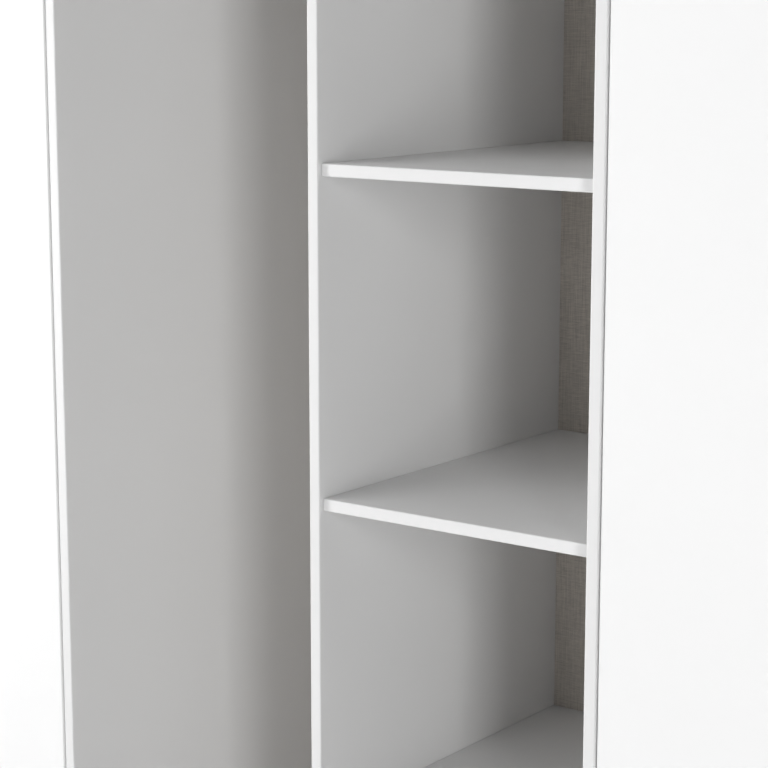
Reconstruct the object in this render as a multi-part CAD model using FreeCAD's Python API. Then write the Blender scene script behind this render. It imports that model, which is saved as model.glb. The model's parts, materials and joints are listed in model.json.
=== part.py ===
import FreeCAD, Part
import os

from FreeCAD import Vector

# A two-door wardrobe in white-faced board. The left compartment holds a hat shelf and a
# hanging rail, the right one four shelves. The doors lie over the front edges and hang on
# knuckle hinges at the outer front corners. In the rest pose both doors stand wide open.
#
# Millimetres, +Z up, +X to the right seen from the front, +Y from the front to the back.
# Origin: the middle of the carcass's footprint, on the floor.

# ---- driving dimensions -------------------------------------------------------------------
overall_width = 800.0
overall_height = 2000.0
carcass_depth = 550.0           # front edges of the sides to the outer face of the back
board = 15.0                    # thickness of every board
back_thickness = 3.0
edge_band = 2.0                 # thickness of the plastic strip on each visible edge
arris_radius = 1.8              # rounding of the strip's two long edges

glide_height = 5.0
glide_radius = 7.0
glide_nail_radius = 1.2
glide_nail_length = 16.0
glide_from_end = 35.0
plinth_height = 60.0            # floor to the underside of the bottom panel
plinth_set_back = 35.0

divider_set_back = 23.0         # divider's front edge behind the fronts of the sides
shelf_recess = 7.0              # shelf's front edge behind the divider's front edge
shelf_end_clearance = 0.5       # each end of a shelf to the upright beside it
shelf_back_clearance = 2.0
bays = 5                        # open bays in the right compartment
top_bay_trim = 35.0             # the top bay is this much lower than the others
fixed_shelf = 1                 # counted from 0 at the lowest; held by cam locks, not pins

door_gap = 3.0                  # inner face of a closed door to the front edges
door_end_gap = 2.0              # door to the carcass's top and to the plinth's top
door_middle_gap = 3.0           # between the two closed doors
door_side_reveal = 0.5          # door's outer edge inside the carcass's outer face
open_door_gap = 2.5             # carcass's outer face to the edge of a door that is wide open
rest_opening = 180.0            # how far the doors stand open in the rest pose, in degrees

knuckle_radius = 3.2
knuckle_clearance = 0.3         # around the knuckles in their notch, and between knuckles
knuckle_wall_in_leaf = 1.2      # how far a leaf runs into its knuckle's wall
pin_radius = 1.7
pin_running_clearance = 0.05
pin_head_radius = 2.6
pin_head_height = 1.2
leaf_thickness = 1.2
leaf_length = 64.0
leaf_end_knuckle = 20.0         # length of each of the carcass leaf's two knuckles
leaf_reach_on_side = 40.0
leaf_reach_on_door = 38.0
leaf_screw_from_tip = 9.0
leaf_screw_pitch = 22.0
hinge_from_door_bottom = 65.0
hinges_from_door_top = (500.0, 125.0)

handle_level = 1000.0           # middle of the handle above the floor
handle_from_edge = 40.0
handle_bar_radius = 6.0
handle_bar_length = 224.0
handle_bar_end_radius = 1.5
handle_post_radius = 4.5
handle_post_spacing = 160.0
handle_stand_off = 26.0         # clear gap between the door and the bar
handle_screw_radius = 2.0
handle_screw_clearance = 0.25
handle_screw_in_post = 12.0
handle_screw_head_radius = 4.0
handle_screw_head_height = 2.2

rail_radius = 12.5
rail_wall = 1.5
rail_below_hat_shelf = 40.0     # underside of the hat shelf to the middle of the rail
rail_flange_radius = 24.0
rail_flange_thickness = 3.0
rail_cup_wall = 2.8
rail_cup_depth = 12.0
rail_clearance = 0.1            # tube inside its cup
rail_end_clearance = 0.5
rail_screw_from_axis = 19.6

cam_radius = 7.4
cam_pocket_clearance = 0.1
cam_height = 12.0
cam_from_end = 24.0
cam_from_edges = 70.0           # cams to the board's front and back edges
cam_bolt_radius = 3.0
cam_bolt_clearance = 1.0
cam_bolt_neck_radius = 1.8
cam_bolt_neck_length = 3.5
cam_bolt_head_length = 3.0
cam_thread_radius = 2.5
cam_thread_length = 10.5
cam_slot_length = 8.0
dowel_radius = 4.0
dowel_length = 30.0
dowel_in_upright = 10.0
dowel_from_cam = 32.0
plinth_dowel_rise = 14.0        # plinth dowels above and below its middle line
connector_length = 50.0
connector_head_radius = 5.0
connector_head_depth = 3.0
connector_shank_radius = 3.5
connector_thread_radius = 2.5
connector_cap_radius = 6.5
connector_cap_thickness = 0.5
shelf_pin_radius = 2.5
shelf_pin_in_board = 8.0
shelf_pin_out = 9.0
shelf_pin_from_edges = 50.0

catch_from_middle = 60.0
catch_width = 46.0
catch_depth = 14.0
catch_height = 13.0
catch_set_back = 1.5            # housing's front behind the carcass's front
catch_screw_from_middle = 18.0
magnet_width = 26.0
magnet_height = 7.0
magnet_length = 9.0
magnet_clearance = 0.3          # magnet to the strike plate of the closed door
strike_width = 40.0
strike_height = 12.0
strike_thickness = 1.5
strike_screw_from_middle = 14.0
bumper_radius = 4.0
bumper_clearance = 0.3          # bumper to the front edges when the door is closed
bumper_from_edge = 22.0

bracket_leg = 40.0
bracket_width = 20.0
bracket_thickness = 2.0
bracket_hole_radius = 3.25
bracket_hole_below_top = 25.0
bracket_screws_from_back = (21.0, 33.0)

back_inset = 2.0                # back panels inside the carcass's outline
back_middle_gap = 1.0           # each back panel to the middle plane
strip_width = 20.0
strip_thickness = 1.0
strip_web = 1.4
nail_head_radius = 2.5
nail_head_thickness = 0.6
nail_radius = 0.8
nail_length = 18.0
nail_spacing = 160.0
nail_from_end = 40.0
divider_nail_from_middle = 4.5

screw_head_radius = 3.0
screw_shank_radius = 1.5
screw_head_depth = 1.6
screw_length = 12.0
recess_length = 3.4             # cross recess in the head of a screw
recess_width = 0.7
recess_depth = 0.7

# ---- levels and faces worked out from them -------------------------------------------------
half_width = overall_width / 2
front = -carcass_depth / 2
back = carcass_depth / 2
panel_back = back - back_thickness
inner_side = half_width - board
half_divider = board / 2
bay_middle = (inner_side + half_divider) / 2
bottom_top = plinth_height + board
top_underside = overall_height - board
shelf_pitch = (top_underside - bottom_top + board + top_bay_trim) / bays
shelf_tops = [bottom_top + shelf_pitch * (i + 1) for i in range(bays - 1)]
hat_shelf_top = shelf_tops[-1]
divider_front = front + divider_set_back
shelf_front = divider_front + shelf_recess
shelf_back = panel_back - shelf_back_clearance
rail_z = hat_shelf_top - board - rail_below_hat_shelf
door_bottom = plinth_height + door_end_gap
door_top = overall_height - door_end_gap
door_inner_face = front - door_gap
door_outer_face = door_inner_face - board
door_free_edge = door_middle_gap / 2
door_hinge_edge = half_width - door_side_reveal
axis_x = half_width + (open_door_gap - door_side_reveal) / 2
axis_y = front - door_gap / 2
hinge_levels = [door_bottom + hinge_from_door_bottom]
hinge_levels += [door_top - distance for distance in hinges_from_door_top]
handle_x = door_free_edge + handle_from_edge
post_levels = [handle_level + s * handle_post_spacing / 2 for s in (-1, 1)]

UP = Vector(0, 0, 1)
DOWN = Vector(0, 0, -1)
TO_FRONT = Vector(0, -1, 0)
TO_BACK = Vector(0, 1, 0)
BOTH_SIDES = (("left", -1), ("right", 1))


# ---- helpers -------------------------------------------------------------------------------
def box(x0, x1, y0, y1, z0, z1):
    return Part.makeBox(x1 - x0, y1 - y0, z1 - z0, Vector(x0, y0, z0))


def rod(radius, start, direction, length):
    return Part.makeCylinder(radius, length, start, direction)


def along_x(side):
    """Unit vector to the right for side 1, to the left for side -1."""
    return Vector(side, 0, 0)


def place(shape, position, outward):
    """A copy of a shape made about +Z, moved to a position with +Z turned outward."""
    moved = shape.copy()
    moved.Placement = FreeCAD.Placement(position, FreeCAD.Rotation(UP, outward))
    return moved


def joined(shapes):
    """One solid out of pieces that touch."""
    return shapes[0].fuse(shapes[1:]).removeSplitter().Solids[0]


def drilled(body, cutters):
    return body.cut(cutters).Solids[0]


def on_side(shapes, side):
    """Shapes made for the right half, or their mirror images for side -1."""
    if side > 0:
        return shapes
    return [shape.mirror(Vector(0, 0, 0), Vector(1, 0, 0)) for shape in shapes]


def opened(shapes, side):
    """Door pieces are made closed; this swings them to the rest pose about their hinge."""
    turned = []
    for shape in shapes:
        copy = shape.copy()
        copy.rotate(Vector(side * axis_x, axis_y, 0), UP, side * rest_opening)
        turned.append(copy)
    return turned


def export(node, shapes):
    whole = shapes[0] if len(shapes) == 1 else Part.makeCompound(shapes)
    whole.exportStep("parts/" + node + ".step")


def edge_strip(x0, x1, y0, y1, z0, z1, axis, outer):
    """An edge band: a bar whose two long edges on the outer face are rounded.

    axis is 0, 1 or 2 for the direction the outer face looks along, outer its place there.
    """
    strip = box(x0, x1, y0, y1, z0, z1)
    on_face = []
    for edge in strip.Edges:
        if all(abs(vertex.Point[axis] - outer) < 1e-6 for vertex in edge.Vertexes):
            on_face.append(edge)
    on_face.sort(key=lambda edge: edge.Length)
    return strip.makeFillet(min(arris_radius, 0.9 * edge_band), on_face[2:])


def cross_recess(size):
    half = recess_width / 2
    bar = box(-size / 2, size / 2, -half, half, -recess_depth, 1)
    other = box(-half, half, -size / 2, size / 2, -recess_depth, 1)
    return [bar, other]


def screw_outline(length=screw_length):
    """Countersunk screw about +Z, its flat head in the plane Z = 0."""
    start = Vector(0, 0, -screw_head_depth)
    head = Part.makeCone(screw_shank_radius, screw_head_radius, screw_head_depth, start, UP)
    shank = rod(screw_shank_radius, Vector(0, 0, -length), UP, length)
    return joined([head, shank])


def screw(position, outward, length=screw_length):
    recessed = drilled(screw_outline(length), cross_recess(recess_length))
    return place(recessed, position, outward)


def screw_hole(position, outward, length=screw_length):
    return place(screw_outline(length), position, outward)


# ---- joints between boards -----------------------------------------------------------------
def cam_lock(face_x, side, y, underside):
    """A cam in a board's underside and its bolt in an upright; the board lies on that side."""
    out = along_x(side)
    middle_z = underside + board / 2
    head_start = cam_from_end - cam_bolt_head_length / 2
    neck_start = head_start - cam_bolt_neck_length
    thread_start = Vector(face_x - side * cam_thread_length, y, middle_z)
    thread = rod(cam_thread_radius, thread_start, out, cam_thread_length)
    face = Vector(face_x, y, middle_z)
    neck_place = Vector(face_x + side * neck_start, y, middle_z)
    head_place = Vector(face_x + side * head_start, y, middle_z)
    bolt = joined([
        thread,
        rod(cam_bolt_radius, face, out, neck_start),
        rod(cam_bolt_neck_radius, neck_place, out, cam_bolt_neck_length),
        rod(cam_bolt_radius, head_place, out, cam_bolt_head_length),
    ])
    cam_place = Vector(face_x + side * cam_from_end, y, underside)
    bore_radius = cam_bolt_radius + cam_bolt_clearance
    bore = rod(bore_radius, face, out, cam_from_end + cam_bolt_head_length)
    slots = [place(slot, cam_place, DOWN) for slot in cross_recess(cam_slot_length)]
    cam = drilled(rod(cam_radius, cam_place, UP, cam_height), [bore] + slots)
    pocket_radius = cam_radius + cam_pocket_clearance
    pocket = rod(pocket_radius, cam_place, UP, cam_height + cam_pocket_clearance)
    return {"cam": cam, "bolt": bolt, "in_upright": thread, "in_board": joined([pocket, bore])}


def dowel(face_x, side, y, z):
    start = Vector(face_x - side * dowel_in_upright, y, z)
    return rod(dowel_radius, start, along_x(side), dowel_length)


def end_joint(face_x, side, y_front, y_back, underside):
    """Two cam locks and two dowels at one end of a board."""
    near = y_front + cam_from_edges
    far = y_back - cam_from_edges
    z = underside + board / 2
    locks = [cam_lock(face_x, side, y, underside) for y in (near, far)]
    dowels = [dowel(face_x, side, y, z) for y in (near + dowel_from_cam, far - dowel_from_cam)]
    return {
        "cams": [lock["cam"] for lock in locks],
        "bolts": [lock["bolt"] for lock in locks],
        "dowels": dowels,
        "in_upright": [lock["in_upright"] for lock in locks] + dowels,
        "in_board": [lock["in_board"] for lock in locks] + dowels,
    }


def board_joints():
    """Every cam-locked board end, by the names of the board and the upright it meets."""
    joints = {}
    for name, side in BOTH_SIDES:
        upright = name + "_side"
        face = side * inner_side
        joints["top_panel", upright] = end_joint(face, -side, front, panel_back, top_underside)
        joints["bottom_panel", upright] = end_joint(face, -side, front, panel_back, plinth_height)
    shelf_underside = shelf_tops[fixed_shelf] - board
    hat_underside = hat_shelf_top - board
    joints["fixed_shelf", "right_side"] = end_joint(
        inner_side, -1, shelf_front, shelf_back, shelf_underside)
    joints["fixed_shelf", "divider"] = end_joint(
        half_divider, 1, shelf_front, shelf_back, shelf_underside)
    joints["hat_shelf", "left_side"] = end_joint(
        -inner_side, 1, shelf_front, shelf_back, hat_underside)
    joints["hat_shelf", "divider"] = end_joint(
        -half_divider, -1, shelf_front, shelf_back, hat_underside)
    return joints


def from_joints(joints, kind, board_name=None, upright=None):
    """The pieces or cutters of one kind, for one board or one upright or all of them."""
    found = []
    for (joint_board, joint_upright), pieces in joints.items():
        if board_name in (None, joint_board) and upright in (None, joint_upright):
            found += pieces[kind]
    return found


def plinth_dowels(side):
    """Dowels of the front and rear plinth boards in one side."""
    middle = (plinth_height + glide_height) / 2
    dowels = []
    for y in (front + plinth_set_back + board / 2, panel_back - board / 2):
        for z in (middle - plinth_dowel_rise, middle + plinth_dowel_rise):
            dowels.append(dowel(side * inner_side, -side, y, z))
    return dowels


def connector_outline():
    """One-piece connecting screw about +Z, its head in the plane Z = 0."""
    start = Vector(0, 0, -connector_head_depth)
    head = Part.makeCone(connector_shank_radius, connector_head_radius, connector_head_depth,
                         start, UP)
    shank = rod(connector_shank_radius, Vector(0, 0, -board), UP, board)
    thread = rod(connector_thread_radius, Vector(0, 0, -connector_length), UP, connector_length)
    return joined([head, shank, thread])


def connector_places():
    """Screws through the top and bottom panels into the divider, sunk under caps on top."""
    places = []
    for y in (divider_front + cam_from_edges, panel_back - cam_from_edges):
        places.append((Vector(0, y, overall_height - connector_cap_thickness), UP))
        places.append((Vector(0, y, plinth_height), DOWN))
    return places


def connectors():
    return [place(connector_outline(), position, out) for position, out in connector_places()]


def connector_caps():
    """Caps over the upper heads, flush with the top of the wardrobe."""
    tops = [position for position, out in connector_places() if out is UP]
    return [rod(connector_cap_radius, position, UP, connector_cap_thickness) for position in tops]


def shelf_pins(upright):
    """Pins under the loose shelves, in the divider or in the right side."""
    if upright == "divider":
        face_x, side = half_divider, 1
    else:
        face_x, side = inner_side, -1
    start_x = face_x - side * shelf_pin_in_board
    pins = []
    for index, top in enumerate(shelf_tops):
        if index == fixed_shelf:
            continue
        z = top - board - shelf_pin_radius
        for y in (shelf_front + shelf_pin_from_edges, shelf_back - shelf_pin_from_edges):
            length = shelf_pin_in_board + shelf_pin_out
            pins.append(rod(shelf_pin_radius, Vector(start_x, y, z), along_x(side), length))
    return pins


# ---- hinges, made on the right for a closed door -------------------------------------------
def knuckle(z0, z1, bore_radius):
    start = Vector(axis_x, axis_y, z0)
    ring = rod(knuckle_radius, start, UP, z1 - z0)
    return ring.cut(rod(bore_radius, start, UP, z1 - z0))


def knuckle_spans(level):
    """Heights of the carcass's two knuckles and of the door's one between them."""
    low = level - leaf_length / 2
    high = level + leaf_length / 2
    door_low = low + leaf_end_knuckle + knuckle_clearance
    door_high = high - leaf_end_knuckle - knuckle_clearance
    return [(low, low + leaf_end_knuckle), (high - leaf_end_knuckle, high)], (door_low, door_high)


def knuckle_notches():
    """Room for the knuckles in the edges of the side and of the door, at each hinge."""
    reach = knuckle_radius + knuckle_clearance
    rise = leaf_length / 2 + pin_head_height + knuckle_clearance
    return [box(axis_x - reach, axis_x + reach, axis_y - reach, axis_y + reach,
                level - rise, level + rise) for level in hinge_levels]


def screw_levels(level):
    return (level - leaf_screw_pitch, level, level + leaf_screw_pitch)


def side_leaf_screws(level):
    """Positions on the side's inner face; the middle screw stands nearer the front."""
    face_x = inner_side - leaf_thickness
    tip = front + leaf_reach_on_side - leaf_screw_from_tip
    depths = (tip, tip - leaf_screw_from_tip, tip)
    return [Vector(face_x, y, z) for y, z in zip(depths, screw_levels(level))]


def door_leaf_screws(level):
    face_y = door_inner_face + leaf_thickness
    tip = axis_x - leaf_reach_on_door + leaf_screw_from_tip
    places = (tip, tip + leaf_screw_from_tip, tip)
    return [Vector(x, face_y, z) for x, z in zip(places, screw_levels(level))]


def side_leaf(level):
    """Leaf on the side's inner face, wrapped round its front edge to the outer corner."""
    spans, door_span = knuckle_spans(level)
    low = spans[0][0]
    high = spans[1][1]
    face_x = inner_side - leaf_thickness
    plate = box(face_x, inner_side, front - leaf_thickness, front + leaf_reach_on_side, low, high)
    flange_end = axis_x - knuckle_radius + knuckle_wall_in_leaf
    flange = box(face_x, flange_end, front - leaf_thickness, front, low, high)
    notch_x = axis_x - knuckle_radius - 2 * knuckle_clearance
    notch = box(notch_x, axis_x + knuckle_radius, front - door_gap, front + leaf_thickness,
                door_span[0] - knuckle_clearance, door_span[1] + knuckle_clearance)
    pieces = [plate, flange.cut(notch)]
    pieces += [knuckle(z0, z1, pin_radius) for z0, z1 in spans]
    bore = rod(pin_radius, Vector(axis_x, axis_y, low), UP, high - low)
    holes = [screw_hole(p, along_x(-1)) for p in side_leaf_screws(level)]
    return drilled(joined(pieces), [bore] + holes)


def door_leaf(level):
    """Leaf on the door's inner face with the middle knuckle."""
    spans, door_span = knuckle_spans(level)
    low = spans[0][0]
    high = spans[1][1]
    leaf_end = axis_x - knuckle_radius + knuckle_wall_in_leaf
    plate = box(axis_x - leaf_reach_on_door, leaf_end,
                door_inner_face, door_inner_face + leaf_thickness, low, high)
    notch_x = axis_x - knuckle_radius - 2 * knuckle_clearance
    notches = []
    for z0, z1 in ((low - 1, door_span[0]), (door_span[1], high + 1)):
        notches.append(box(notch_x, axis_x, door_inner_face - 1, front, z0, z1))
    bore_radius = pin_radius + pin_running_clearance
    ring = knuckle(door_span[0], door_span[1], bore_radius)
    bore = rod(bore_radius, Vector(axis_x, axis_y, low), UP, high - low)
    holes = [screw_hole(p, TO_BACK) for p in door_leaf_screws(level)]
    return drilled(joined([plate.cut(notches), ring]), [bore] + holes)


def hinge_pin(level):
    """Pin through the three knuckles, with a domed head at each end."""
    low = Vector(axis_x, axis_y, level - leaf_length / 2)
    high = Vector(axis_x, axis_y, level + leaf_length / 2)
    pieces = [rod(pin_radius, low, UP, leaf_length)]
    for end, out in ((low, DOWN), (high, UP)):
        head = rod(pin_head_radius, end, out, pin_head_height)
        rim = [edge for edge in head.Edges
               if abs(edge.CenterOfMass.z - (end.z + out.z * pin_head_height)) < 1e-6]
        pieces.append(head.makeFillet(0.8 * pin_head_height, rim))
    return joined(pieces)


# ---- carcass -------------------------------------------------------------------------------
def banded_panel(x0, x1, y0, y1, z0, z1, cutters):
    """A lying board with its front edge band, as two solids."""
    core = box(x0, x1, y0 + edge_band, y1, z0, z1)
    band = edge_strip(x0, x1, y0, y0 + edge_band, z0, z1, 1, y0)
    if cutters:
        core = drilled(core, cutters)
    return core, band


def glides():
    """Plastic glides with a nail up into the board's lower edge."""
    places = []
    for side in (-1, 1):
        for y in (front + glide_from_end, 0, back - back_thickness - glide_from_end):
            places.append(Vector(side * (half_width - board / 2), y, 0))
    places.append(Vector(0, front + plinth_set_back + board / 2, 0))
    places.append(Vector(0, panel_back - board / 2, 0))
    pads = []
    for position in places:
        nail_length_in_all = glide_height + glide_nail_length
        pads.append(joined([
            rod(glide_radius, position, UP, glide_height),
            rod(glide_nail_radius, position, UP, nail_length_in_all),
        ]))
    return pads


def wall_bracket(side):
    """Steel angle under the top panel, screwed to it and drilled for a wall screw."""
    x0 = side * bay_middle - bracket_width / 2
    x1 = side * bay_middle + bracket_width / 2
    lying = box(x0, x1, panel_back - bracket_leg, panel_back,
                top_underside - bracket_thickness, top_underside)
    hanging = box(x0, x1, panel_back - bracket_thickness, panel_back,
                  top_underside - bracket_leg, top_underside)
    holes = [wall_hole(side)] + [screw_hole(p, DOWN) for p in wall_bracket_screws(side)]
    return drilled(joined([lying, hanging]), holes)


def wall_hole(side):
    start = Vector(side * bay_middle, panel_back - bracket_thickness,
                   top_underside - bracket_hole_below_top)
    return rod(bracket_hole_radius, start, TO_BACK, bracket_thickness + back_thickness)


def wall_bracket_screws(side):
    z = top_underside - bracket_thickness
    return [Vector(side * bay_middle, panel_back - d, z) for d in bracket_screws_from_back]


def magnet_box(side, clearance):
    """The magnet, or its pocket when the clearance is above nothing."""
    face_y = door_inner_face + strike_thickness + magnet_clearance
    x = side * catch_from_middle
    z = top_underside - catch_height / 2
    return box(x - magnet_width / 2 - clearance, x + magnet_width / 2 + clearance,
               face_y, face_y + magnet_length + clearance,
               z - magnet_height / 2 - clearance, z + magnet_height / 2 + clearance)


def catch_screw_length():
    return catch_height + screw_length


def catch_screws(side):
    y = front + catch_set_back + catch_depth / 2
    z = top_underside - catch_height
    xs = [side * catch_from_middle + s * catch_screw_from_middle for s in (-1, 1)]
    return [Vector(x, y, z) for x in xs]


def magnet_catch(side):
    x = side * catch_from_middle
    y0 = front + catch_set_back
    housing = box(x - catch_width / 2, x + catch_width / 2, y0, y0 + catch_depth,
                  top_underside - catch_height, top_underside)
    upright_edges = [edge for edge in housing.Edges
                     if abs(edge.Vertexes[0].Z - edge.Vertexes[1].Z) > 1.0]
    housing = housing.makeFillet(2.0, upright_edges)
    holes = [screw_hole(p, DOWN, catch_screw_length()) for p in catch_screws(side)]
    return drilled(housing, [magnet_box(side, 0.1)] + holes)


def rail_ends():
    """The rail's two ends: the upright's face and the direction into the compartment."""
    return {"left_side": (-inner_side, 1), "divider": (-half_divider, -1)}


def rail_bracket_screws(face_x, side):
    x = face_x + side * rail_flange_thickness
    return [Vector(x, 0, rail_z + s * rail_screw_from_axis) for s in (-1, 1)]


def rail_bracket(face_x, side):
    """Round flange with a cup that holds the rail's end."""
    out = along_x(side)
    start = Vector(face_x, 0, rail_z)
    lip = Vector(face_x + side * rail_flange_thickness, 0, rail_z)
    cup_bore = rail_radius + rail_clearance
    flange = rod(rail_flange_radius, start, out, rail_flange_thickness)
    cup = rod(cup_bore + rail_cup_wall, lip, out, rail_cup_depth)
    holes = [rod(cup_bore, lip, out, rail_cup_depth)]
    holes += [screw_hole(p, out) for p in rail_bracket_screws(face_x, side)]
    return drilled(joined([flange, cup]), holes)


def hanging_rail():
    shortening = rail_flange_thickness + rail_end_clearance
    length = inner_side - half_divider - 2 * shortening
    start = Vector(-inner_side + shortening, 0, rail_z)
    tube = rod(rail_radius, start, along_x(1), length)
    return drilled(tube, [rod(rail_radius - rail_wall, start, along_x(1), length)])


# ---- back ----------------------------------------------------------------------------------
def nail(x, z):
    """Flat-headed nail through the back, its head on the back's outer face."""
    head = rod(nail_head_radius, Vector(x, back, z), TO_BACK, nail_head_thickness)
    shank = rod(nail_radius, Vector(x, back, z), TO_FRONT, nail_length)
    return joined([head, shank])


def strip_nail(x, z):
    """Nail through the joining strip and a back panel into the divider."""
    moved = nail(x, z)
    moved.translate(Vector(0, strip_thickness, 0))
    return moved


def evenly(low, high, spacing):
    """Places from low to high, no further apart than the spacing."""
    steps = int((high - low) // spacing) + 1
    return [low + (high - low) * i / steps for i in range(steps + 1)]


def upright_nail_levels():
    return evenly(plinth_height + nail_from_end, overall_height - nail_from_end, nail_spacing)


def side_nails(side):
    x = side * (half_width - board / 2)
    return [nail(x, z) for z in upright_nail_levels()]


def panel_nails(z):
    """A row of nails into the top or bottom panel, beside the middle strip."""
    xs = evenly(strip_width / 2 + nail_from_end, inner_side - nail_from_end, nail_spacing)
    return [nail(s * x, z) for s in (-1, 1) for x in xs]


def divider_nails():
    nails = []
    for index, z in enumerate(upright_nail_levels()[1:-1]):
        side = 1 if index % 2 else -1
        nails.append(strip_nail(side * divider_nail_from_middle, z))
    return nails


def back_panel(side, cutters):
    x0 = back_middle_gap
    x1 = half_width - back_inset
    low = plinth_height + back_inset
    high = overall_height - back_inset
    panel = on_side([box(x0, x1, panel_back, back, low, high)], side)[0]
    return drilled(panel, cutters)


def joining_strip(cutters):
    """T-shaped plastic strip over the joint of the two back panels."""
    low = plinth_height + back_inset
    high = overall_height - back_inset
    cover = box(-strip_width / 2, strip_width / 2, back, back + strip_thickness, low, high)
    web = box(-strip_web / 2, strip_web / 2, panel_back, back, low, high)
    return drilled(joined([cover, web]), cutters)


# ---- doors, made closed on the right -------------------------------------------------------
def door_core(cutters):
    core = box(door_free_edge + edge_band, door_hinge_edge - edge_band,
               door_outer_face, door_inner_face,
               door_bottom + edge_band, door_top - edge_band)
    return drilled(core, cutters)


def door_bands():
    """Strips on the door's four edges, rounded on both faces."""
    x0, x1 = door_free_edge, door_hinge_edge
    y0, y1 = door_outer_face, door_inner_face
    z0, z1 = door_bottom, door_top
    return [
        edge_strip(x0, x0 + edge_band, y0, y1, z0, z1, 0, x0),
        drilled(edge_strip(x1 - edge_band, x1, y0, y1, z0, z1, 0, x1), knuckle_notches()),
        edge_strip(x0 + edge_band, x1 - edge_band, y0, y1, z0, z0 + edge_band, 2, z0),
        edge_strip(x0 + edge_band, x1 - edge_band, y0, y1, z1 - edge_band, z1, 2, z1),
    ]


def handle_bar():
    y = door_outer_face - handle_stand_off - handle_bar_radius
    start = Vector(handle_x, y, handle_level - handle_bar_length / 2)
    bar = rod(handle_bar_radius, start, UP, handle_bar_length)
    rims = [edge for edge in bar.Edges if edge.Closed]
    return bar.makeFillet(handle_bar_end_radius, rims)


def handle_posts():
    """Posts between the door and the bar, bored for the screws, their ends cut to the bar."""
    bar = handle_bar()
    posts = []
    for z in post_levels:
        start = Vector(handle_x, door_outer_face, z)
        post = rod(handle_post_radius, start, TO_FRONT, handle_stand_off + handle_bar_radius)
        bore = rod(handle_screw_radius, start, TO_FRONT, handle_screw_in_post)
        posts.append(drilled(post, [bar, bore]))
    return posts


def handle_screws():
    """Pan-headed screws from the door's inner face into the posts."""
    screws = []
    for z in post_levels:
        start = Vector(handle_x, door_inner_face, z)
        head = rod(handle_screw_head_radius, start, TO_BACK, handle_screw_head_height)
        rim = [edge for edge in head.Edges
               if abs(edge.CenterOfMass.y - start.y - handle_screw_head_height) < 1e-6]
        head = head.makeFillet(0.6 * handle_screw_head_height, rim)
        shank = rod(handle_screw_radius, start, TO_FRONT, board + handle_screw_in_post)
        head_face = Vector(handle_x, door_inner_face + handle_screw_head_height, z)
        slots = [place(slot, head_face, TO_BACK) for slot in cross_recess(recess_length)]
        screws.append(drilled(joined([head, shank]), slots))
    return screws


def strike_plate_level():
    return top_underside - catch_height / 2


def strike_screws():
    y = door_inner_face + strike_thickness
    xs = [catch_from_middle + s * strike_screw_from_middle for s in (-1, 1)]
    return [Vector(x, y, strike_plate_level()) for x in xs]


def strike_plate():
    """Steel plate on the door's inner face that the magnet holds."""
    z = strike_plate_level()
    plate = box(catch_from_middle - strike_width / 2, catch_from_middle + strike_width / 2,
                door_inner_face, door_inner_face + strike_thickness,
                z - strike_height / 2, z + strike_height / 2)
    return drilled(plate, [screw_hole(p, TO_BACK) for p in strike_screws()])


def bumpers():
    """Soft discs at the door's free corners, against the top and bottom panels' edges."""
    levels = (plinth_height + board / 2, top_underside + board / 2)
    x = door_free_edge + bumper_from_edge
    thickness = door_gap - bumper_clearance
    return [rod(bumper_radius, Vector(x, door_inner_face, z), TO_BACK, thickness) for z in levels]


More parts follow.
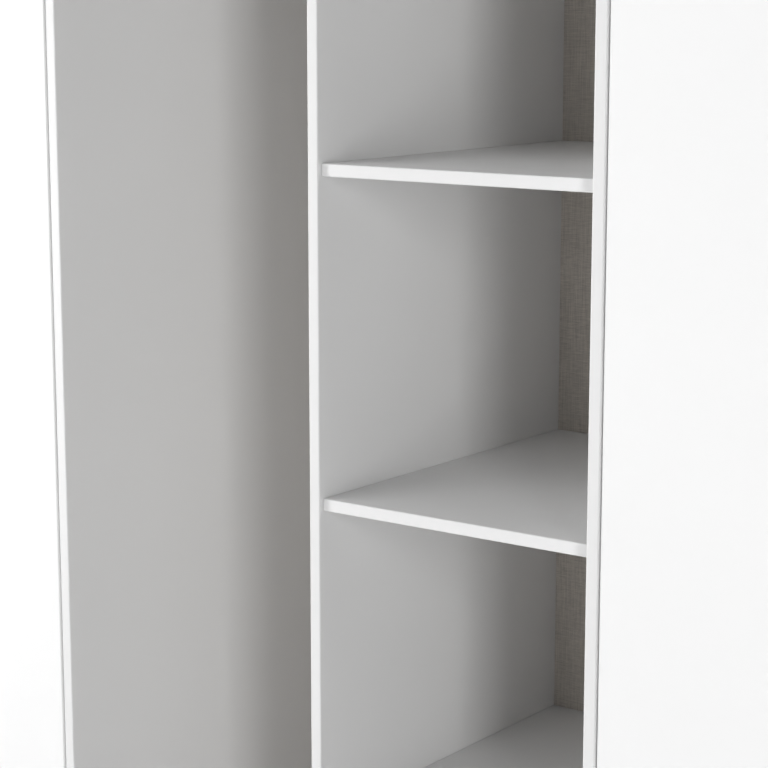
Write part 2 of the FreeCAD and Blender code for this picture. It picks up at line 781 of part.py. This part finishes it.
# ---- making and writing every piece --------------------------------------------------------
def make_carcass():
    joints = board_joints()
    nails = side_nails(-1) + side_nails(1) + panel_nails(plinth_height + board / 2)
    nails += panel_nails(top_underside + board / 2)
    middle_nails = divider_nails()
    feet = glides()
    through = connectors()
    hinge_holes = []
    for level in hinge_levels:
        hinge_holes += [screw_hole(p, along_x(-1)) for p in side_leaf_screws(level)]
    bracket_holes = {}
    for upright, (face_x, side) in rail_ends().items():
        places = rail_bracket_screws(face_x, side)
        bracket_holes[upright] = [screw_hole(p, along_x(side)) for p in places]
    pins = {upright: shelf_pins(upright) for upright in ("divider", "right_side")}
    bands = []

    for name, side in BOTH_SIDES:
        upright = name + "_side"
        x0, x1 = sorted((side * inner_side, side * half_width))
        cutters = from_joints(joints, "in_upright", upright=upright) + plinth_dowels(side)
        cutters += on_side(hinge_holes + knuckle_notches(), side) + side_nails(side) + feet
        cutters += pins.get(upright, []) + bracket_holes.get(upright, [])
        core, band = banded_panel(x0, x1, front, panel_back, glide_height, overall_height, cutters)
        bands.append(drilled(band, on_side(knuckle_notches(), side)))
        export(upright, [core])

    cutters = from_joints(joints, "in_upright", upright="divider") + pins["divider"]
    cutters += bracket_holes["divider"] + through + middle_nails
    core, band = banded_panel(-half_divider, half_divider, divider_front, panel_back,
                              bottom_top, top_underside, cutters)
    bands.append(band)
    export("divider", [core])

    under_top = []
    for name, side in BOTH_SIDES:
        under_top += [screw_hole(p, DOWN) for p in wall_bracket_screws(side)]
        under_top += [screw_hole(p, DOWN, catch_screw_length()) for p in catch_screws(side)]
    for node, underside, extra in (("top_panel", top_underside, under_top + connector_caps()),
                                   ("bottom_panel", plinth_height, [])):
        cutters = from_joints(joints, "in_board", board_name=node) + through + nails + extra
        core, band = banded_panel(-inner_side, inner_side, front, panel_back,
                                  underside, underside + board, cutters)
        bands.append(band)
        export(node, [core])

    for index, top in enumerate(shelf_tops):
        cutters = []
        if index == fixed_shelf:
            cutters = from_joints(joints, "in_board", board_name="fixed_shelf")
        core, band = banded_panel(half_divider + shelf_end_clearance,
                                  inner_side - shelf_end_clearance,
                                  shelf_front, shelf_back, top - board, top, cutters)
        bands.append(band)
        export("shelf_" + str(index + 1), [core])
    cutters = from_joints(joints, "in_board", board_name="hat_shelf")
    core, band = banded_panel(-inner_side + shelf_end_clearance,
                              -half_divider - shelf_end_clearance,
                              shelf_front, shelf_back, hat_shelf_top - board, hat_shelf_top, cutters)
    bands.append(band)
    export("hat_shelf", [core])
    export("carcass_edge_bands", bands)

    ends = plinth_dowels(-1) + plinth_dowels(1)
    for node, y0 in (("plinth_front", front + plinth_set_back), ("plinth_back", panel_back - board)):
        plank = box(-inner_side, inner_side, y0, y0 + board, glide_height, plinth_height)
        export(node, [drilled(plank, ends + feet + through)])

    export("cams", from_joints(joints, "cams"))
    export("cam_bolts", from_joints(joints, "bolts"))
    export("dowels", from_joints(joints, "dowels") + ends)
    slots = []
    for position, out in connector_places():
        slots += [place(slot, position, out) for slot in cross_recess(recess_length)]
    export("connecting_screws", [drilled(piece, slots) for piece in through])
    export("screw_caps", connector_caps())
    export("shelf_pins", pins["divider"] + pins["right_side"])
    export("glides", feet)

    export("back_panel_left", [back_panel(-1, nails + middle_nails + [wall_hole(-1)])])
    export("back_panel_right", [back_panel(1, nails + middle_nails + [wall_hole(1)])])
    export("back_joining_strip", [joining_strip(middle_nails)])
    export("back_nails", nails + middle_nails)


def make_rail():
    export("hanging_rail", [hanging_rail()])
    screws = []
    for upright, (face_x, side) in rail_ends().items():
        export("rail_bracket_" + upright.replace("_side", ""), [rail_bracket(face_x, side)])
        screws += [screw(p, along_x(side)) for p in rail_bracket_screws(face_x, side)]
    export("rail_bracket_screws", screws)


def make_top_fittings():
    """Wall brackets and magnet catches under the top panel."""
    bracket_screws = []
    for name, side in BOTH_SIDES:
        export("wall_bracket_" + name, [wall_bracket(side)])
        bracket_screws += [screw(p, DOWN) for p in wall_bracket_screws(side)]
    export("wall_bracket_screws", bracket_screws)
    export("magnet_catches", [magnet_catch(side) for name, side in BOTH_SIDES])
    export("catch_magnets", [magnet_box(side, 0) for name, side in BOTH_SIDES])
    lengths = catch_screw_length()
    export("catch_screws", [screw(p, DOWN, lengths) for s in (-1, 1) for p in catch_screws(s)])


def make_hinges():
    """The hinge halves and pins that stay on the carcass."""
    screws = []
    for level in hinge_levels:
        screws += [screw(p, along_x(-1)) for p in side_leaf_screws(level)]
    for name, side in BOTH_SIDES:
        leaves = [side_leaf(level) for level in hinge_levels]
        pins = [hinge_pin(level) for level in hinge_levels]
        export(name + "_side_hinge_leaves", on_side(leaves, side))
        export(name + "_hinge_pins", on_side(pins, side))
    export("side_hinge_screws", screws + on_side(screws, -1))


def make_doors():
    leaf_holes = []
    leaf_screws = []
    for level in hinge_levels:
        leaf_holes += [screw_hole(p, TO_BACK) for p in door_leaf_screws(level)]
        leaf_screws += [screw(p, TO_BACK) for p in door_leaf_screws(level)]
    plate_holes = [screw_hole(p, TO_BACK) for p in strike_screws()]
    passage = handle_screw_radius + handle_screw_clearance
    through = [rod(passage, Vector(handle_x, door_outer_face, z), TO_BACK, board)
               for z in post_levels]
    pieces = {
        "door": [door_core(leaf_holes + plate_holes + through + knuckle_notches())],
        "door_edge_bands": door_bands(),
        "door_hinge_leaves": [door_leaf(level) for level in hinge_levels],
        "door_hinge_screws": leaf_screws,
        "handle_bar": [handle_bar()],
        "handle_posts": handle_posts(),
        "handle_screws": handle_screws(),
        "strike_plate": [strike_plate()],
        "strike_plate_screws": [screw(p, TO_BACK) for p in strike_screws()],
        "door_bumpers": bumpers(),
    }
    for name, side in BOTH_SIDES:
        for node, shapes in pieces.items():
            export(name + "_" + node, opened(on_side(shapes, side), side))


os.makedirs("parts", exist_ok=True)
make_carcass()
make_rail()
make_top_fittings()
make_hinges()
make_doors()
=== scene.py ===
import json
import math

import bmesh
import bpy
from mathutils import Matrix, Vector


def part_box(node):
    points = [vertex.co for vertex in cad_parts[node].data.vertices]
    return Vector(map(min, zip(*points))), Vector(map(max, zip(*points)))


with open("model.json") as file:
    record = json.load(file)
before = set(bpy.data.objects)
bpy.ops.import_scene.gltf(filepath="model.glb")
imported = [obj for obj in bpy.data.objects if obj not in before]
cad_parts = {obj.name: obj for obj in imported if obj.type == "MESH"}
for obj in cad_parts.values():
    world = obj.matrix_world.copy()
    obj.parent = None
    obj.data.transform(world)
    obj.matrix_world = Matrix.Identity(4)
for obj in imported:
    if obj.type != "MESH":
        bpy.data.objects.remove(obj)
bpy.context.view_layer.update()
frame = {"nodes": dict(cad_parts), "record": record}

# A wardrobe with both doors wide open, in metres, +Z up, +Y from the front to the back.

# ---- looks, in one place -------------------------------------------------------------------
WHITE_BOARD = (0.80, 0.80, 0.80)
WHITE_BAND = (0.80, 0.80, 0.80)
# painted light: the doors' white is a brighter copy of the board's white, standing in for a face lit
# more strongly
WHITE_DOOR_PAINTED_BRIGHT = (0.91, 0.91, 0.91)
WHITE_PLASTIC = (0.80, 0.80, 0.79)
GLIDE_GREY = (0.55, 0.55, 0.54)
FLOOR_PALE = (0.88, 0.88, 0.88)
FLOOR_DULL = (0.86, 0.86, 0.86)
WHITE_LIGHT = (1.0, 1.0, 1.0, 1.0)
LINEN_LIGHT = (0.71, 0.660, 0.600)
LINEN_DARK = (0.53, 0.487, 0.436)
HARDBOARD = (0.25, 0.155, 0.088)
NICKEL = (0.66, 0.645, 0.62)
ZINC = (0.60, 0.61, 0.63)
CHROME = (0.78, 0.78, 0.80)
STEEL = (0.56, 0.55, 0.53)
BEECH = (0.60, 0.40, 0.22)
MAGNET = (0.03, 0.03, 0.032)
CLEAR_RUBBER = (0.72, 0.73, 0.73)

THREAD_PITCH = 0.0016           # linen threads, one to the next
FLOOR_RADIUS = 6.5
FLOOR_FADE_START = 2.0
BACKDROP_STRENGTH = 1.05        # what the camera sees behind the floor
AMBIENT_STRENGTH = 0.05         # what the surroundings light the wardrobe with

CAMERA_LENS = 100.0             # in mm, on a sensor 36 mm wide
CAMERA_FROM_CORNER = (1.5292, -1.8832, 0.5721)  # divider's left, bands' front, shelf_2's top
CAMERA_TURN = 36.684            # degrees to the left of straight on
CAMERA_DOWN = 10.128

LIT_POINT = (0.0, -0.1, 1.2)


# ---- node helpers --------------------------------------------------------------------------
class Graph:
    """A material's nodes, with short calls for the ones used here."""

    def __init__(self, name):
        self.material = bpy.data.materials.new(name)
        self.material.use_nodes = True
        self.tree = self.material.node_tree
        self.shader = self.tree.nodes["Principled BSDF"]
        self.object_place = self.add("ShaderNodeTexCoord").outputs["Object"]

    def add(self, kind, **settings):
        node = self.tree.nodes.new(kind)
        for key, value in settings.items():
            setattr(node, key, value)
        return node

    def link(self, output, node_input):
        self.tree.links.new(output, node_input)

    def feed(self, node, name, value):
        if isinstance(value, (int, float, tuple)):
            node.inputs[name].default_value = value
        else:
            self.link(value, node.inputs[name])

    def stretched(self, scale):
        """Object coordinates in metres times a scale for each axis."""
        mapping = self.add("ShaderNodeMapping")
        mapping.inputs["Scale"].default_value = scale
        self.link(self.object_place, mapping.inputs["Vector"])
        return mapping.outputs["Vector"]

    def noise(self, scale, detail=3.0, roughness=0.55, at=None):
        node = self.add("ShaderNodeTexNoise")
        node.inputs["Scale"].default_value = scale
        node.inputs["Detail"].default_value = detail
        node.inputs["Roughness"].default_value = roughness
        self.link(at or self.object_place, node.inputs["Vector"])
        return node.outputs["Fac"]

    def ramp(self, factor, stops):
        node = self.add("ShaderNodeValToRGB")
        while len(node.color_ramp.elements) < len(stops):
            node.color_ramp.elements.new(0.5)
        for element, (place, colour) in zip(node.color_ramp.elements, stops):
            element.position = place
            element.color = (*colour, 1.0)
        self.link(factor, node.inputs["Fac"])
        return node.outputs["Color"]

    def span(self, factor, low, high, from_low=0.0, from_high=1.0):
        node = self.add("ShaderNodeMapRange")
        self.link(factor, node.inputs["Value"])
        for name, value in (("From Min", from_low), ("From Max", from_high),
                            ("To Min", low), ("To Max", high)):
            node.inputs[name].default_value = value
        return node.outputs["Result"]

    def maths(self, operation, a, b=0.0):
        node = self.add("ShaderNodeMath", operation=operation)
        for socket, value in zip(node.inputs, (a, b)):
            if isinstance(value, (int, float)):
                socket.default_value = value
            else:
                self.link(value, socket)
        return node.outputs[0]

    def mix(self, factor, a, b):
        node = self.add("ShaderNodeMix", data_type="RGBA", blend_type="MIX")
        for index, value in ((0, factor), (6, a), (7, b)):
            if isinstance(value, tuple):
                node.inputs[index].default_value = (*value, 1.0)
            elif isinstance(value, (int, float)):
                node.inputs[index].default_value = value
            else:
                self.link(value, node.inputs[index])
        return node.outputs[2]

    def bump(self, height, strength, distance, below=None):
        node = self.add("ShaderNodeBump")
        node.inputs["Strength"].default_value = strength
        node.inputs["Distance"].default_value = distance
        self.link(height, node.inputs["Height"])
        if below is not None:
            self.link(below, node.inputs["Normal"])
        return node.outputs["Normal"]

    def finish(self, colour, roughness, normal=None, metallic=0.0, **sockets):
        self.feed(self.shader, "Base Color", colour)
        self.feed(self.shader, "Roughness", roughness)
        self.shader.inputs["Metallic"].default_value = metallic
        for name, value in sockets.items():
            self.shader.inputs[name.replace("_", " ")].default_value = value
        if normal is not None:
            self.link(normal, self.shader.inputs["Normal"])
        return self.material


def tinted(colour, factor):
    return tuple(channel * factor for channel in colour)


# ---- materials -----------------------------------------------------------------------------
def white_board(name, base):
    """Melamine facing: a very fine pearl grain, faint clouding and patches of other gloss."""
    g = Graph(name)
    clouds = g.noise(2.2, 4.0)
    fine = g.noise(900.0, 2.0, 0.6)
    pores = g.noise(260.0, 3.0, 0.65)
    colour = g.ramp(clouds, ((0.3, tinted(base, 0.985)), (0.7, base)))
    colour = g.mix(g.span(fine, 0.0, 0.05), colour, tinted(base, 0.7))
    rough = g.span(g.noise(14.0, 5.0, 0.7), 0.40, 0.52, 0.35, 0.65)
    normal = g.bump(fine, 0.10, 0.0002)
    normal = g.bump(pores, 0.06, 0.0004, normal)
    return g.finish(colour, rough, normal, Specular_IOR_Level=0.42)


def white_band():
    """Plastic edge band: smoother than the board, with faint lines along Z."""
    g = Graph("white_edge_band")
    fine = g.noise(700.0, 2.0)
    lines = g.noise(1.0, 3.0, 0.6, g.stretched((900.0, 900.0, 6.0)))
    colour = g.ramp(g.noise(5.0, 3.0), ((0.3, tinted(WHITE_BAND, 0.985)), (0.7, WHITE_BAND)))
    rough = g.span(lines, 0.34, 0.44)
    normal = g.bump(fine, 0.05, 0.0002)
    normal = g.bump(lines, 0.04, 0.0002, normal)
    return g.finish(colour, rough, normal, Specular_IOR_Level=0.45)


def threads(g, at, slub_scale, wander_scale):
    """Height of one set of threads: round ridges that wander, with uneven slubs over them."""
    wander = g.noise(1.0, 2.0, 0.6, g.stretched(wander_scale))
    place = g.maths("ADD", at, g.maths("MULTIPLY", wander, THREAD_PITCH * 0.9))
    wave = g.maths("SINE", g.maths("MULTIPLY", place, 2 * math.pi / THREAD_PITCH))
    slubs = g.noise(1.0, 3.0, 0.7, g.stretched(slub_scale))
    return g.maths("ADD", g.maths("MULTIPLY", wave, 0.25), slubs)


def linen_back():
    """Inside, hardboard printed with a taupe linen weave; outside, its brown screen-pressed face."""
    g = Graph("linen_hardboard")
    parts = g.add("ShaderNodeSeparateXYZ")
    g.link(g.object_place, parts.inputs["Vector"])
    warp = threads(g, parts.outputs["X"], (620.0, 1.0, 22.0), (260.0, 1.0, 14.0))
    weft = threads(g, parts.outputs["Z"], (60.0, 1.0, 620.0), (14.0, 1.0, 260.0))
    weave = g.maths("MULTIPLY", g.maths("ADD", warp, weft), 0.5)
    cloth = g.ramp(g.span(weave, 0.0, 1.0, 0.2, 0.8),
                   ((0.1, tinted(LINEN_DARK, 0.8)), (0.5, LINEN_LIGHT),
                    (0.9, tinted(LINEN_LIGHT, 1.3))))
    patches = g.noise(7.0, 4.0)
    cloth = g.mix(g.span(patches, 0.0, 0.25, 0.3, 0.7), cloth, tinted(LINEN_DARK, 1.1))
    fibres = g.noise(1.0, 5.0, 0.7, g.stretched((500.0, 500.0, 120.0)))
    brown = g.ramp(fibres, ((0.3, tinted(HARDBOARD, 0.72)), (0.7, tinted(HARDBOARD, 1.2))))
    mottling = g.span(g.noise(4.5, 5.0, 0.65), 0.0, 0.35, 0.35, 0.7)
    brown = g.mix(mottling, brown, tinted(HARDBOARD, 1.45))
    middle = (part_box("back_panel_right")[0][1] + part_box("back_panel_right")[1][1]) / 2
    outside = g.maths("GREATER_THAN", parts.outputs["Y"], float(middle))
    colour = g.mix(outside, cloth, brown)
    normal = g.bump(weave, 0.35, 0.0003)
    return g.finish(colour, g.span(weave, 0.62, 0.78), normal, Specular_IOR_Level=0.3)


def white_plastic(name, base, low, high):
    g = Graph(name)
    colour = g.ramp(g.noise(40.0, 3.0), ((0.3, tinted(base, 0.95)), (0.7, base)))
    normal = g.bump(g.noise(1500.0, 2.0), 0.08, 0.0002)
    return g.finish(colour, g.span(g.noise(60.0, 3.0), low, high), normal)


def metal(name, base, low, high, strength=0.05):
    """Metal with a drawn or brushed grain along Z and faint stains."""
    g = Graph(name)
    lines = g.noise(1.0, 3.0, 0.6, g.stretched((1400.0, 1400.0, 40.0)))
    stains = g.noise(25.0, 4.0, 0.6)
    colour = g.ramp(stains, ((0.3, tinted(base, 0.90)), (0.7, tinted(base, 1.04))))
    rough = g.span(g.maths("ADD", g.maths("MULTIPLY", lines, 0.6), g.maths("MULTIPLY", stains, 0.4)),
                   low, high, 0.3, 0.7)
    normal = g.bump(lines, strength, 0.0002)
    return g.finish(colour, rough, normal, metallic=1.0)


def beech():
    g = Graph("beech")
    grain = g.noise(1.0, 4.0, 0.6, g.stretched((30.0, 500.0, 500.0)))
    colour = g.ramp(grain, ((0.3, tinted(BEECH, 0.8)), (0.7, BEECH)))
    return g.finish(colour, g.span(grain, 0.5, 0.7), g.bump(grain, 0.2, 0.0003))


MATERIALS = {
    "board": white_board("white_melamine", WHITE_BOARD),
    # the doors get a brighter copy of the board melamine: painted light, not a different finish
    "door_board": white_board("door_melamine_painted_bright", WHITE_DOOR_PAINTED_BRIGHT),
    "edge_band": white_band(),
    "back_hardboard": linen_back(),
    "white_plastic": white_plastic("white_plastic", WHITE_PLASTIC, 0.35, 0.5),
    "glide_plastic": white_plastic("glide_plastic", GLIDE_GREY, 0.4, 0.55),
    "zinc": metal("bright_zinc", ZINC, 0.28, 0.46),
    "nickel": metal("satin_nickel", NICKEL, 0.26, 0.40),
    "chrome": metal("chrome", CHROME, 0.06, 0.16, strength=0.01),
    "brushed_handle": metal("brushed_steel", STEEL, 0.26, 0.42, strength=0.12),
    "magnet": metal("sintered_magnet", MAGNET, 0.45, 0.65),
    "beech": beech(),
    "bumper": white_plastic("clear_rubber", CLEAR_RUBBER, 0.25, 0.4),
}


def dress_cad_nodes():
    slots = {part["node"]: part["material_slot"] for part in frame["record"]["subparts"]}
    for node, piece in frame["nodes"].items():
        material = MATERIALS[slots[node]]
        piece.data.materials.clear()
        piece.data.materials.append(material)


# ---- camera, floor and light ---------------------------------------------------------------
def camera():
    """A long lens from the front right, looking down at the shelves in the right compartment."""
    data = bpy.data.cameras.new("camera")
    data.lens = CAMERA_LENS
    data.sensor_width = 36.0
    seen = bpy.data.objects.new("camera", data)
    corner = Vector((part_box("divider")[0][0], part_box("carcass_edge_bands")[0][1],
                     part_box("shelf_2")[1][2]))
    seen.location = corner + Vector(CAMERA_FROM_CORNER)
    tilt = math.pi / 2 - math.radians(CAMERA_DOWN)
    seen.rotation_euler = (tilt, 0.0, math.radians(CAMERA_TURN))
    bpy.context.collection.objects.link(seen)
    bpy.context.scene.camera = seen


def floor():
    """A pale round floor that fades at its rim into the white backdrop."""
    mesh = bpy.data.meshes.new("floor")
    disc = bmesh.new()
    bmesh.ops.create_circle(disc, cap_ends=True, segments=128, radius=FLOOR_RADIUS)
    disc.to_mesh(mesh)
    disc.free()
    plane = bpy.data.objects.new("floor", mesh)
    bpy.context.collection.objects.link(plane)
    g = Graph("floor")
    colour = g.ramp(g.noise(0.6, 3.0), ((0.3, FLOOR_DULL), (0.7, FLOOR_PALE)))
    rough = g.span(g.noise(30.0, 3.0), 0.66, 0.74)
    material = g.finish(colour, rough, Specular_IOR_Level=0.2)
    distance = g.add("ShaderNodeVectorMath", operation="LENGTH")
    g.link(g.object_place, distance.inputs[0])
    fade = g.span(distance.outputs["Value"], 0.0, 1.0, FLOOR_FADE_START, FLOOR_RADIUS)
    clear = g.add("ShaderNodeBsdfTransparent")
    both = g.add("ShaderNodeMixShader")
    g.link(fade, both.inputs["Fac"])
    g.link(g.shader.outputs["BSDF"], both.inputs[1])
    g.link(clear.outputs["BSDF"], both.inputs[2])
    g.link(both.outputs["Shader"], g.tree.nodes["Material Output"].inputs["Surface"])
    mesh.materials.append(material)


def around(angle, distance, height):
    """A place seen from the wardrobe's middle at an angle from +X towards the front."""
    turn = math.radians(angle)
    return (distance * math.cos(turn), -distance * math.sin(turn), height)


# Name, place, the point it faces, width, height, watts.
SOFTBOXES = (
    ("key", around(43.2, 5.0, 1.3), LIT_POINT, 0.8, 3.2, 92.0),
    ("front", around(100.0, 5.0, 1.0), LIT_POINT, 1.2, 3.2, 45.0),
    ("front_left", around(145.0, 6.0, 0.9), LIT_POINT, 1.4, 3.6, 220.0),
    ("overhead", around(120.0, 5.0, 6.5), LIT_POINT, 2.6, 2.6, 96.0),
    ("ceiling", (0.0, 0.4, 6.0), (0.0, 0.4, 0.0), 3.0, 3.0, 75.0),
    ("behind_left", (-2.5, 4.0, 2.2), LIT_POINT, 2.0, 2.0, 90.0),
    ("behind_right", (3.5, 3.0, 2.0), LIT_POINT, 2.0, 2.0, 60.0),
)


def softbox(name, place, target, width, height, watts):
    data = bpy.data.lights.new(name, "AREA")
    data.shape = "RECTANGLE"
    data.size = width
    data.size_y = height
    data.energy = watts
    lamp = bpy.data.objects.new(name, data)
    lamp.location = place
    lamp.rotation_euler = (Vector(target) - Vector(place)).to_track_quat("-Z", "Y").to_euler()
    bpy.context.collection.objects.link(lamp)


def surroundings():
    """White behind the object for the camera, and a weaker white that lights it."""
    world = bpy.data.worlds.new("studio")
    bpy.context.scene.world = world
    world.use_nodes = True
    tree = world.node_tree
    shown = tree.nodes["Background"]
    lit = tree.nodes.new("ShaderNodeBackground")
    for light, strength in ((shown, BACKDROP_STRENGTH), (lit, AMBIENT_STRENGTH)):
        light.inputs["Color"].default_value = WHITE_LIGHT
        light.inputs["Strength"].default_value = strength
    path = tree.nodes.new("ShaderNodeLightPath")
    both = tree.nodes.new("ShaderNodeMixShader")
    tree.links.new(path.outputs["Is Camera Ray"], both.inputs["Fac"])
    tree.links.new(lit.outputs["Background"], both.inputs[1])
    tree.links.new(shown.outputs["Background"], both.inputs[2])
    tree.links.new(both.outputs["Shader"], tree.nodes["World Output"].inputs["Surface"])


def studio():
    surroundings()
    for row in SOFTBOXES:
        softbox(*row)
    bpy.context.scene.view_settings.view_transform = "Standard"


dress_cad_nodes()
camera()
floor()
studio()
